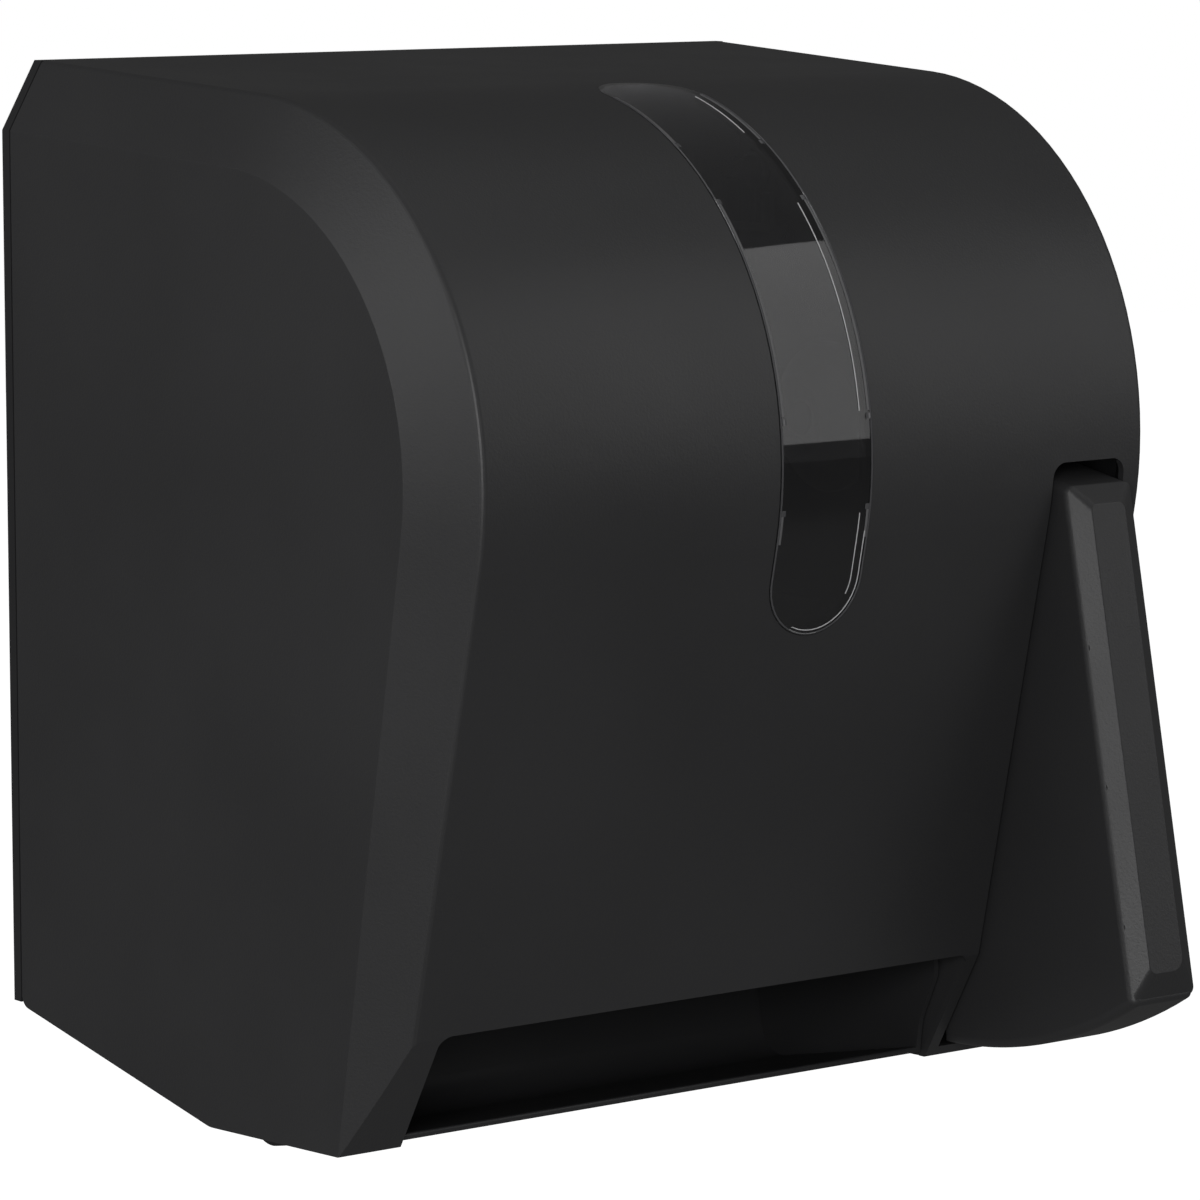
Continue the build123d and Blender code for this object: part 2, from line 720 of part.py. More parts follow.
def hinge_pins():
    inner = inside_x(hinge[0]) - 9.2
    outer = inside_x(hinge[0]) + cover_wall * 0.2
    pin = disc(hinge, hinge_pin_radius, inner, outer) + disc(hinge, hinge_pin_radius + 1.6, inner - 1.4, inner)
    return pin + mirrored(pin)


def lock_strike():
    right = inside_x(lock[0]) - 9.2
    left = right - 2.6
    top = lock[1] - 9.0
    arm_top = lock[1] - lock_cam_reach - 2.0
    arm_bottom = arm_top - 3.0
    hook = outline(
        (-plate_thick, arm_bottom), (lock[0] - 10, arm_bottom), (lock[0] - 10, top),
        (lock[0] - 5.5, top), (lock[0] - 5.5, arm_top), (-plate_thick, arm_top))
    strike = across(hook, left, right)
    strike += block(
        (strike_screw[0] - 7, -plate_thick - strike_thick, strike_screw[1] - 7), (right, -plate_thick, arm_top))
    return strike - along((strike_screw[0], 0, strike_screw[1]), (0, -1, 0), 20, screw_hole)


# ---------------------------------------------------------------- side frames
def foot(web, side):
    """Flange that lies on the back plate, on one side of the frame's inner or outer face at X = web."""
    low, high = sorted((web, web + side * foot_width))
    slab = block(
        (low, -plate_thick - foot_thick, foot_holes[0] - foot_margin), (high, -plate_thick, foot_holes[1] + foot_margin))
    for z in foot_holes:
        slab -= along(((low + high) / 2, 0, z), (0, -1, 0), 20, screw_hole)
    return slab


def frame_outline(with_lever):
    """Side view of a frame. The one beside the lever reaches up to the lever's pivot."""
    low = foot_holes[0] - foot_margin - 2
    high = foot_holes[1] + foot_margin + 8
    shoulder = feed[1] + 2 * feed_radius
    nose = (-guide_front + 1, guide_top + 12, 4)
    corners = [(-plate_thick, low), (-plate_thick, high, 4), (-60, high, 20), (feed[0] + 29, shoulder, 10)]
    if with_lever:
        corners += [
            (feed[0] - 12, shoulder + 12, 10), (tie_rod[0] + 6, tie_rod[1] - 20, 14),
            (tie_rod[0] + 6, tie_rod[1] + 6, 5), (pivot[0] - 13, tie_rod[1] + 4, 9),
            (pivot[0] - 15, pivot[1] - 14, 12), (nose[0] + 15, nose[1] + 28, 20), nose]
    else:
        corners += [(feed[0] - 26, shoulder, 10), nose]
    sill = chute_ledge_height + chute_wall + 0.1
    under = pinch[1] - 18
    corners += [
        (nose[0], sill, 3), (pinch[0] - 17, sill, 6), (pinch[0] - 9, under, 4), (pinch[0] + 13, under, 4),
        (pinch[0] + 21, low)]
    return outline(*corners)


def frame_holes(low, high, bushed):
    """Shaft hole, pinch slot and screw holes shared by both inner frames."""
    holes = disc(feed, shaft_radius + bush_wall, low, high)
    if bushed:
        reach = pinch_block / 2 + slide_fit
        slot_face = Pos(*pinch) * Rot(0, 0, degrees(pinch_lean)) * Rectangle(
            pinch_block + 2 * slide_fit, 2 * reach + 2 * (pinch_travel + 0.4))
        holes += across(slot_face, low, high)
    for place in guide_screws() + chute_screws():
        holes += disc(place, screw_hole, low, high)
    return holes


def guide_screws():
    return [(-guide_front + 10, guide_top - 3.5), (-guide_front + 24, guide_top - 0.5)]


def chute_screws():
    height = chute_ledge_height + 8.5
    return [(-chute_floor_depth - 44, height), (-chute_back_depth + 12, height)]


def left_frame():
    body = across(frame_outline(False), -frame_right, -frame_left)
    body += foot(-frame_right, -1)
    body += spring_shelf(-frame_right - shelf_width, -frame_right)
    return body - frame_holes(-frame_right - 1, -frame_left + 1, True)


def right_frame():
    body = across(frame_outline(True), frame_left, frame_right)
    body += foot(frame_right, 1)
    body += spring_shelf(frame_right, frame_right + shelf_width)
    body -= frame_holes(frame_left - 1, frame_right + 1, True)
    body -= disc(pivot, pivot_pin_radius, frame_left - 1, frame_right + 1)
    return body - disc(tie_rod, tie_radius, frame_left - 1, frame_right + 1)


def spring_shelf(low, high):
    """Ledge on a frame that the pinch spring stands on."""
    depth = pinch_block / 2 + pinch_travel + pinch_spring_room
    return across(
        Pos(pinch[0] + pinch_way[0] * depth, pinch[1] + pinch_way[1] * depth)
        * Rot(0, 0, degrees(pinch_lean)) * Rectangle(pinch_block, shelf_thick), low, high)


def outer_frame_plate():
    low = foot_holes[0] - foot_margin
    high = foot_holes[1] + foot_margin + 8
    shoulder = feed[1] + 49
    corners = outline(
        (-plate_thick, low), (-plate_thick, high, 4), (-70, high, 20), (feed[0] + 29, shoulder, 10),
        (feed[0] - 12, shoulder + 12, 10),
        (tie_rod[0] + 6, tie_rod[1] - 20, 14), (tie_rod[0] + 6, tie_rod[1] + 6, 5),
        (pivot[0] - 13, tie_rod[1] + 4, 9), (pivot[0] - 17, pivot[1] - stop_reach - 8, 10),
        (feed[0] - 22, feed[1] - 4, 12), (feed[0] - 8, feed[1] - 16, 8), (feed[0] + 43, low + 8, 20))
    body = across(corners, outer_frame, outer_frame_right)
    body += foot(outer_frame, -1)
    body -= disc(feed, shaft_radius + bush_wall, outer_frame - 1, outer_frame_right + 1)
    body -= disc(pivot, pivot_pin_radius, outer_frame - 1, outer_frame_right + 1)
    body -= disc(lever_stop()[1], stop_radius / 2, outer_frame - 1, outer_frame_right + 1)
    return body - disc(tie_rod, tie_radius, outer_frame - 1, outer_frame_right + 1)


def tie_bar():
    bar = disc(tie_rod, tie_radius, frame_left + 0.2, outer_frame_right + 1.5)
    bar += disc(tie_rod, tie_radius + tie_collar, outer_frame - 3, outer_frame)
    return bar + disc(tie_rod, tie_radius + tie_collar, frame_right, frame_right + 1.2)


def feed_bushes():
    """Flanged bearings of the feed shaft, one in each frame."""
    bushes = []
    outer = shaft_radius + bush_wall
    bore = shaft_radius + shaft_fit
    for low, high, flange in (
        (-frame_right, -frame_left, -frame_right), (frame_left, frame_right, frame_right),
        (outer_frame, outer_frame_right, outer_frame_right),
    ):
        away = -1 if flange < 0 else 1
        rim_low, rim_high = sorted((flange, flange + away * bush_flange))
        bushes.append(ring(feed, outer, bore, low, high) + ring(feed, outer + 2, bore, rim_low, rim_high))
    return Compound(children=[bush.solid() for bush in bushes])


# ---------------------------------------------------------------- gears
def flank_angle(teeth, radius):
    """Half the angle of a tooth at a radius, for an involute tooth thinned by the backlash."""
    pitch_radius = gear_module * teeth / 2
    pressure = radians(gear_angle)
    base = pitch_radius * cos(pressure)
    here = acos(min(1.0, base / max(radius, base)))
    half = pi / (2 * teeth) - gear_backlash / (4 * pitch_radius)
    return half + (tan(pressure) - pressure) - (tan(here) - here)


def tooth_line(teeth, middle):
    """Points up one flank of a tooth and down the other, about the angle middle."""
    pitch_radius = gear_module * teeth / 2
    root = pitch_radius - 1.25 * gear_module
    base = pitch_radius * cos(radians(gear_angle))
    tip = pitch_radius + gear_module
    low = max(root, base)
    radii = [low + (tip - low) * step / 5 for step in range(6)]
    if base > root:
        radii = [root] + radii
    rising = [(r, middle - flank_angle(teeth, r)) for r in radii]
    falling = [(r, middle + flank_angle(teeth, r)) for r in reversed(radii)]
    return [(r * cos(a), r * sin(a)) for r, a in rising + falling]


def clutch_pinion():
    facing = atan2(pivot[1] - feed[1], pivot[0] - feed[0])
    points = []
    for k in range(pinion_teeth):
        points += tooth_line(pinion_teeth, facing + 2 * pi * (k + 0.5) / pinion_teeth)
    wheel = Pos(*feed) * make_face(Polyline(*points, close=True))
    low = sector_left + (sector_width - pinion_width) / 2
    gear = across(wheel, low, low + pinion_width)
    gear += disc(feed, clutch_radius + clutch_hub_wall, low + pinion_width, outer_frame - 1.6)
    return gear - disc(feed, clutch_radius, low - 1, outer_frame)


def one_way_clutch():
    low = sector_left + (sector_width - pinion_width) / 2
    return ring(feed, clutch_radius, shaft_radius + shaft_fit, low, outer_frame - 1.8)


def sector_span():
    """Angle from pivot to feed shaft, tooth pitch, and the first and last tooth of the sector."""
    facing = atan2(feed[1] - pivot[1], feed[0] - pivot[0])
    pitch = 2 * pi / sector_teeth
    return facing, pitch, -int(radians(lever_throw) / pitch) - 1 - sector_margin, sector_margin


def sector_gear():
    facing, pitch, first, last = sector_span()
    rim = []
    for k in range(first, last + 1):
        rim += tooth_line(sector_teeth, facing + k * pitch)
    start = facing + (first - 0.6) * pitch
    finish = facing + (last + 0.6) * pitch
    begin = (sector_root * cos(start), sector_root * sin(start))
    end = (sector_root * cos(finish), sector_root * sin(finish))
    web = make_face(Polyline((0, 0), begin, *rim, end, close=True))
    web += Circle(lever_hub_radius + 4)
    middle = (start + finish) / 2
    spread = (finish - start) / 2 - 0.06
    for inner, outer in ((sector_root * 0.285, sector_root * 0.55), (sector_root * 0.6, sector_root - 10)):
        window = outline(*[
            (r * cos(middle + a), r * sin(middle + a), 3)
            for r, a in ((inner, -spread * 0.72), (outer, -spread * 0.86),
                         (outer, spread * 0.86), (inner, spread * 0.72))])
        web -= window
    gear = across(Pos(*pivot) * web, sector_left, sector_right)
    gear += disc(pivot, lever_hub_radius, lever_right, sector_left)
    gear += disc(pivot, lever_hub_radius, sector_right, outer_frame - 0.6)
    gear -= disc(pivot, pivot_pin_radius + shaft_fit, lever_right - 1, outer_frame)
    for place in sector_pegs():
        gear += disc(place, peg_radius, lever_right - lever_wall, sector_left)
        gear += disc(place, peg_radius + 1.2, lever_right, sector_left)
    return gear


def sector_pegs():
    """Two pegs that key the sector to the lever."""
    facing, pitch, first, last = sector_span()
    middle = facing + (first + last) / 2 * pitch
    radius = lever_hub_radius + peg_reach
    return [(pivot[0] + radius * cos(middle + a), pivot[1] + radius * sin(middle + a)) for a in (-0.17, 0.17)]


# ---------------------------------------------------------------- lever
def sole_point(turn):
    """Point of the underside, turned about the pivot from straight down towards the back."""
    return Vector(pivot[0] + lever_sole_radius * sin(turn), pivot[1] - lever_sole_radius * cos(turn))


def lever_profile():
    """Side view of the lever."""
    crest_y = pivot[0] - 12.0
    crest = (crest_y, lever_top[1] + (crest_y - lever_top[0]) * tan(radians(lever_top_slope)))
    back = pivot[0] + 18.0
    heel, sole, toe = [sole_point(turn) for turn in (heel_turn, (heel_turn + toe_turn) / 2, toe_turn)]
    shape = outline(
        (lever_top[0], lever_top[1], 2), (crest[0], crest[1], 10), (back, pivot[1] + 8, 10),
        (back - 2, pivot[1] - 16, 8), (heel.X, heel.Y), (toe.X, toe.Y))
    shape += make_face([ThreePointArc(heel, sole, toe), Line(toe, heel)])
    return fillet(shape.vertices().sort_by_distance(toe)[0], lever_toe_round)


def lever_bar():
    """Raised bar on the lever's front, bevelled on all four sides."""
    out = Vector(0, -cos(face_lean), sin(face_lean))
    down = Vector(0, -sin(face_lean), -cos(face_lean))
    top = Vector(lever_middle, *lever_top)
    length = (lever_top[1] - sole_point(toe_turn).Y) / cos(face_lean) - bar_foot_gap
    left = lever_left - lever_middle + 1.0
    right = lever_right - lever_middle
    base_plane = Plane(origin=top - out * 0.5, x_dir=(1, 0, 0), z_dir=out)
    sign = 1 if base_plane.y_dir.dot(down) > 0 else -1
    face_plane = Plane(origin=top + out * bar_thick, x_dir=(1, 0, 0), z_dir=out)
    base = outline((left, 0, 2), (right, 0, 2), (right, sign * length, 3), (left, sign * length, 3))
    high, low = sign * bar_top_bevel, sign * (length - bar_foot_bevel)
    face = outline(
        (left + bar_side_bevel, high, 3), (right - bar_inner_bevel, high, 3),
        (right - bar_inner_bevel, low, 5), (left + bar_side_bevel, low, 3))
    bar = loft([base_plane * base, face_plane * face], ruled=True)
    front = [edge for edge in bar.edges() if abs((edge @ 0.5 - face_plane.origin).dot(out)) < 0.01]
    return fillet(front, bar_edge_round)


def lever_paddle():
    profile = lever_profile()
    body = across(profile, lever_left, lever_right)
    sole = sole_point((heel_turn + toe_turn) / 2)
    under = [edge for edge in body.edges() if abs((edge @ 0.5).Y - sole.X) + abs((edge @ 0.5).Z - sole.Y) < 4]
    body = fillet(under, lever_sole_round) + lever_bar()
    hollow = across(offset(profile, amount=-lever_wall), lever_left + lever_wall, lever_right - lever_wall)
    back = pivot[0] + 30
    hollow += block(
        (lever_left + lever_wall, pivot[0] - 22, sole_point(heel_turn).Y + lever_sill),
        (lever_right - lever_wall, back, pivot[1] - 18))
    body -= hollow
    body += disc(pivot, lever_hub_radius, lever_left, lever_right)
    foot_z = sole_point(toe_turn).Y + lever_rib_first
    for k in range(lever_ribs):
        z = foot_z + k * lever_rib_pitch
        face_y = lever_top[0] - (lever_top[1] - z) * tan(face_lean)
        body += block((lever_left + 1, face_y + 1, z), (lever_right - 1, pivot[0] - 8, z + lever_rib_thick))
    body += disc(spring_peg(), spring_peg_radius - 0.05, lever_left + 1, lever_right - 1)
    body -= block((lever_left + 3.5, pivot[0] + 2, pivot[1] + 3), (lever_middle + 6.5, back, pivot[1] + 30))
    body -= disc(pivot, pivot_pin_radius + shaft_fit, lever_left - 1, lever_right + 1)
    for place in sector_pegs():
        body -= disc(place, peg_radius + slide_fit, lever_right - lever_wall - 1, lever_right + 1)
    return body


def pivot_pin():
    pin = disc(pivot, pivot_pin_radius, frame_left + 0.2, outer_frame_right + 3)
    start = outer_frame_right + clip_back
    return pin - ring(pivot, pivot_pin_radius + 1, pivot_pin_radius - clip_groove, start, start + clip_thick)


def snap_ring(place, groove, start):
    """Open ring in the groove at the right end of a pin or a shaft."""
    clip = ring(place, groove + clip_width, groove, start, start + clip_thick)
    mouth = block(
        (start - 1, place[0] - groove * 0.7, place[1] - 12), (start + 2, place[0] + groove * 0.7, place[1]))
    return clip - mouth


def pivot_washer():
    return ring(pivot, lever_hub_radius - 1, pivot_pin_radius + shaft_fit, frame_right + 0.1, lever_left - 0.1)


def spring_peg():
    """Place of the lever's inner peg that the return spring's long leg pushes."""
    a = radians(spring_leg_angle)
    reach = return_coil_radius + wire_radius + spring_peg_radius
    run = spring_leg - 5.0
    return (pivot[0] + reach * cos(a) - run * sin(a), pivot[1] + reach * sin(a) + run * cos(a))


def return_spring():
    """Torsion spring round the lever's hub, one leg on the tie bar and one on the lever."""
    radius = return_coil_radius
    to_rod = Vector(tie_rod[0] - pivot[0], tie_rod[1] - pivot[1])
    touch = radius + tie_radius + wire_radius + 0.05
    swing = degrees(acos(touch / to_rod.length))
    start = degrees(atan2(to_rod.Y, to_rod.X)) + swing
    finish = spring_leg_angle
    turns = return_coil_turns + (finish - start) / 360
    pitch = return_coil_pitch
    left = lever_left + 5.5
    plane = Plane(origin=(left, pivot[0], pivot[1]), x_dir=(0, 1, 0), z_dir=(1, 0, 0))
    spring = coil(plane, radius, wire_radius, turns, pitch, start)
    run = sqrt(to_rod.length ** 2 - touch ** 2) + 4
    rise = pitch / (2 * pi)
    for angle, x, ahead, length in ((start, left, -1, run), (finish, left + pitch * turns, 1, spring_leg)):
        a = radians(angle)
        point = (x, pivot[0] + radius * cos(a), pivot[1] + radius * sin(a))
        way = Vector(rise, -radius * sin(a), radius * cos(a)).normalized() * ahead
        spring += along(point, way, length, wire_radius)
    return spring


def lever_stop():
    """Rubber buffer on the outer frame that the sector rests against."""
    facing, pitch, first, last = sector_span()
    start = facing + (first - 0.6) * pitch
    gap = stop_radius + 0.2
    place = (
        pivot[0] + stop_reach * cos(start) + gap * sin(start),
        pivot[1] + stop_reach * sin(start) - gap * cos(start))
    stop = disc(place, stop_radius, sector_left - 1, outer_frame)
    return stop + disc(place, stop_radius / 2, outer_frame, outer_frame_right), place


# ---------------------------------------------------------------- feed roller
def feed_shaft():
    shaft = disc(feed, shaft_radius, -frame_right - bush_flange - knob_width - 1, outer_frame_right + 4)
    start = outer_frame_right + bush_flange + 0.8
    return shaft - ring(feed, shaft_radius + 1, shaft_radius - clip_groove, start, start + clip_thick)


def feed_drum():
    half = roller_length / 2
    drum = ring(feed, drum_radius, drum_radius - drum_wall, -half, half)
    for low, high in ((-half, drum_web - half), (-drum_web / 2, drum_web / 2), (half - drum_web, half)):
        drum += ring(feed, drum_radius - drum_wall / 2, shaft_radius, low, high)
    return drum


def feed_sleeves():
    sleeves = []
    for x in (-sleeve_pitch, 0, sleeve_pitch):
        sleeve = ring(feed, feed_radius, drum_radius, x - sleeve_width / 2, x + sleeve_width / 2)
        for k in range(-4, 5):
            low = x + k * groove_pitch - groove_width / 2
            sleeve -= ring(feed, feed_radius + 1, feed_radius - groove_depth, low, low + groove_width)
        sleeves.append(sleeve.solid())
    return Compound(children=sleeves)


def feed_knob():
    high = -frame_right - bush_flange - 0.8
    low = high - knob_width
    knob = disc(feed, knob_radius, low, high) - disc(feed, knob_radius - knob_rim, low - 1, low + 4)
    knob += disc(feed, shaft_radius + knob_rim, low, high)
    for k in range(knob_flutes):
        turn = 2 * pi * k / knob_flutes
        place = (feed[0] + knob_radius * cos(turn), feed[1] + knob_radius * sin(turn))
        knob -= disc(place, flute_radius, low - 1, high + 1)
    return knob - disc(feed, shaft_radius, low - 1, high + 1)


# ---------------------------------------------------------------- pinch roller
def pinch_shaft():
    half = frame_right + 3.0
    return disc(pinch, pinch_shaft_radius, -half, half)


def pinch_rollers():
    rollers = []
    for x in (-sleeve_pitch, 0, sleeve_pitch):
        low, high = x - sleeve_width / 2 + 4, x + sleeve_width / 2 - 4
        rollers.append(ring(pinch, pinch_radius, pinch_shaft_radius, low, high).solid())
    return Compound(children=rollers)


def pinch_blocks():
    """Sliding bearings of the pinch shaft, in the slots of the two frames."""
    blocks = []
    half = pinch_block / 2
    for side in (-1, 1):
        low, high = sorted((side * (frame_left - 2.0), side * (frame_right + 4.6)))
        square = Pos(*pinch) * Rot(0, 0, degrees(pinch_lean)) * Rectangle(pinch_block, pinch_block)
        flat = Pos(*pinch) * Rot(0, 0, degrees(pinch_lean)) * Rectangle(pinch_block + 5, pinch_block)
        body = across(square, low, high)
        flange_low, flange_high = sorted((side * (frame_left - 2.0), side * (frame_left - 0.2)))
        body += across(flat, flange_low, flange_high)
        body -= disc(pinch, pinch_shaft_radius + shaft_fit, low - 1, high + 1)
        blocks.append(body.solid())
    return Compound(children=blocks)


def pinch_springs():
    """Compression springs that press the pinch blocks towards the feed roller."""
    springs = []
    start = pinch_block / 2 + small_wire_radius
    length = pinch_travel + pinch_spring_room - shelf_thick / 2 - 2 * small_wire_radius
    for side in (-1, 1):
        x = side * (frame_right + 2.6)
        origin = (x, pinch[0] + pinch_way[0] * start, pinch[1] + pinch_way[1] * start)
        plane = Plane(origin=origin, x_dir=(1, 0, 0), z_dir=(0, pinch_way[0], pinch_way[1]))
        springs.append(coil(
            plane, small_coil_radius, small_wire_radius, small_coil_turns, length / small_coil_turns, 0).solid())
    return Compound(children=springs)


# ---------------------------------------------------------------- roll holder
def arm_shape(back):
    """Side view of a roll arm."""
    half = arm_height / 2
    return outline(
        (back, roll[1] - half), (back, roll[1] + half), (roll[0] - half + 1, roll[1] + half, half - 1),
        (roll[0] - half + 1, roll[1] - half, half - 1))


def arm_recess():
    """Shallow recess along the outside of a roll arm."""
    back, front, half = nose_y + arm_groove_back, nose_y + arm_groove_front, arm_groove_height / 2
    return outline(
        (back, roll[1] - half, 4), (back, roll[1] + half, 4), (front, roll[1] + half, 4), (front, roll[1] - half, 4))


def left_arm():
    arm = across(arm_shape(pin_y - 3), -arm_outer, -arm_inner)
    arm += along((pin_x, pin_y, roll[1] - arm_height / 2), (0, 0, 1), arm_height, arm_knuckle_radius)
    arm -= along((pin_x, pin_y, roll[1] - arm_height), (0, 0, 1), 2 * arm_height, arm_pin_radius + shaft_fit)
    arm -= across(arm_recess(), -arm_outer - 1, arm_groove - arm_outer)
    return arm - disc(roll, axle_radius, -arm_outer - 1, -arm_inner + 1)


def right_arm():
    arm = across(arm_shape(-plate_thick), arm_inner, arm_outer)
    arm += block(
        (arm_inner, -plate_thick - foot_thick, roll[1] - arm_height / 2),
        (arm_outer + foot_width, -plate_thick, roll[1] + arm_height / 2))
    for z in arm_screw_heights:
        arm -= along((arm_outer + foot_width / 2, 0, z), (0, -1, 0), 20, screw_hole)
    arm -= across(arm_recess(), arm_outer - arm_groove, arm_outer + 1)
    return arm - disc(roll, axle_radius, arm_inner - 1, arm_outer + 1)


def right_hub():
    """Plug that enters the roll's core and turns with it."""
    tip = hub_face - hub_reach
    face = outline(
        (tip, 0), (tip, core_radius - 3.5, 1.5), (hub_face, core_radius), (hub_face, hub_flange_radius, 1),
        (hub_face + hub_flange_thick, hub_flange_radius, 1), (hub_face + hub_flange_thick, 0))
    plug = revolve(Plane.XY * face, Axis.X)
    plug -= Rot(0, 90, 0) * Pos(0, 0, tip) * extrude(
        Circle(core_radius - 5.5) - Circle(axle_radius + 3), hub_reach - 2.5)
    for k in range(hub_ribs):
        rib = block(
            (tip + 1, -hub_rib_thick / 2, 0), (tip + hub_reach - 2, hub_rib_thick / 2, core_radius - 5))
        plug += Rot(360 / hub_ribs * k, 0, 0) * rib
    plug = Pos(0, roll[0], roll[1]) * plug
    plug -= disc(roll, axle_radius + 3.4, tip - 1, tip + 3.2)
    return plug - disc(roll, axle_radius + shaft_fit, tip - 5, hub_face + 20)


def right_axle():
    tip = hub_face - hub_reach + 3.0
    return disc(roll, axle_radius, tip, arm_outer) + disc(roll, axle_radius + axle_head, tip - 1.8, tip)


def arm_pin():
    half = arm_height / 2 + arm_ear_gap + arm_ear_thick
    pin = along((pin_x, pin_y, roll[1] - half), (0, 0, 1), 2 * half, arm_pin_radius)
    return pin + along((pin_x, pin_y, roll[1] + half), (0, 0, 1), 1.5, arm_pin_radius + 1.5)


def arm_spring():
    """Flat spring that pushes the left arm in against the roll."""
    left = -arm_outer - 0.1
    back = -plate_thick
    thick = arm_spring_thick
    foot, bend = left - arm_spring_foot, left - arm_spring_step
    near, far = [-place for place in arm_spring_tip]
    strip = make_face(Polyline(
        (foot, back), (bend, back), (left, near), (left, far), (left - thick, far),
        (left - thick, near), (bend - thick, back - thick), (foot, back - thick), close=True))
    spring = Pos(0, 0, roll[1] - arm_spring_height / 2) * extrude(strip, arm_spring_height)
    return spring - along((-arm_outer - arm_spring_screw, 0, roll[1]), (0, -1, 0), 20, screw_hole)


# ---------------------------------------------------------------- chute, guide, tear bar
def outlet_chute():
    lip = (-chute_lip_depth, chute_lip_height)
    trough = outline(
        (lip[0], lip[1] - chute_wall), (-chute_floor_depth, -chute_floor_drop - chute_wall, 14),
        (-chute_back_depth, chute_back_height), (-chute_back_depth - chute_wall, chute_back_height),
        (-chute_floor_depth - chute_wall, -chute_floor_drop, 12), (lip[0], lip[1], 0.8))
    body = across(trough, chute_left, chute_right)
    ear_top = chute_ledge_height + chute_ear_height
    cheek = outline(
        (lip[0], lip[1] - chute_wall), (-chute_floor_depth, -chute_floor_drop - chute_wall, 14),
        (-chute_back_depth, chute_back_height), (-chute_back_depth - 12, chute_ledge_height + chute_wall, 4),
        (lip[0] - 7.5, chute_ledge_height + chute_wall, 3), (lip[0] - 10.5, lip[1] + 29, 12),
        (lip[0] - 1.5, lip[1] + 10, 20))
    body += across(cheek, chute_left, chute_left + chute_cheek)
    body += across(cheek, chute_right - chute_cheek, chute_right)
    ears = []
    for y, near in zip((chute_screws()[0][0], chute_screws()[1][0]),
                       (chute_screws()[0][0] - 10, -chute_back_depth - chute_wall / 2)):
        ears.append(outline((near, chute_ledge_height - 12), (near, ear_top, 5), (y + 10, ear_top, 5),
                            (y + 10, chute_ledge_height, 3), (near + 3, chute_ledge_height - 12)))
    for ear in ears:
        body += across(ear, chute_right - chute_cheek, chute_right)
    front_y, front_z = chute_screws()[0]
    left = -frame_right - 0.1
    body += block(
        (chute_left, front_y - 16, chute_ledge_height), (left, front_y + 16, chute_ledge_height + chute_wall))
    body += block((left - chute_wall, front_y - 10, chute_ledge_height), (left, front_y + 10, ear_top))
    body += across(ears[1], left - chute_wall, left)
    for place in chute_screws():
        body += disc(place, 4, chute_right - 1, frame_left - 0.1)
        body -= disc(place, screw_hole, chute_right - 6, frame_left)
        body -= disc(place, screw_hole, left - 3, left + 1)
    return body


def paper_guide():
    front = -guide_front
    angle = outline(
        (front, guide_height), (front, guide_top), (front + guide_wall, guide_top),
        (front + guide_wall, guide_height + 3, 2), (-guide_back, guide_top - 3.5),
        (-guide_back, guide_top - 6.5))
    body = across(angle, -frame_left + 0.1, frame_left - 0.1)
    end = outline(
        (front, guide_height), (front, guide_top, 3), (-guide_back - 8, guide_top + 4, 3),
        (-guide_back, guide_top - 5.5))
    for low in (-frame_left + 0.1, frame_left - 0.1 - guide_end):
        body += across(end, low, low + guide_end)
    for place in guide_screws():
        body -= disc(place, screw_hole, -frame_left - 1, frame_left + 1)
    for x in tear_screw_places:
        body -= along((x, front + 10, guide_top - tear_screw_drop), (0, -1, 0), 20, screw_hole)
    return body


def tear_bar():
    half = frame_left - 4
    count = int(2 * half / tear_tooth)
    start = -count * tear_tooth / 2
    low = guide_height - 1.8
    points = [(start, guide_top - 1)]
    for k in range(count):
        points += [(start + k * tear_tooth, low), (start + (k + 0.5) * tear_tooth, low - tear_drop)]
    points += [(start + count * tear_tooth, low), (start + count * tear_tooth, guide_top - 1)]
    strip = upright(make_face(Polyline(*points, close=True)), guide_front, guide_front + tear_thick)
    for x in tear_screw_places:
        strip -= along((x, -guide_front + 10, guide_top - tear_screw_drop), (0, -1, 0), 20, screw_hole)
    return strip


# ---------------------------------------------------------------- fasteners
def frame_screws():
    screws = []
    for x, z, thick in foot_screws():
        screws.append(screw((x, -plate_thick - thick, z), (0, 1, 0), thick + plate_thick - 0.6).solid())
    return Compound(children=screws)


def guide_and_chute_screws():
    screws = []
    for place in guide_screws():
        screws.append(screw((-frame_right, *place), (1, 0, 0), frame_thick + screw_bite).solid())
        screws.append(screw((frame_left - 0.1 - guide_end, *place), (1, 0, 0), frame_thick + screw_bite).solid())
    for place in chute_screws():
        screws.append(screw((-frame_right - 0.1 - chute_wall, *place), (1, 0, 0), frame_thick + screw_bite + 0.1).solid())
        screws.append(screw(
            (chute_right - chute_cheek, *place), (1, 0, 0), frame_right - chute_right + chute_cheek - 0.2).solid())
    return Compound(children=screws)


def tear_bar_screws():
    front = -guide_front - tear_thick
    return Compound(children=[
        screw((x, front, guide_top - tear_screw_drop), (0, 1, 0), tear_thick + guide_wall + 1.5).solid() for x in tear_screw_places])


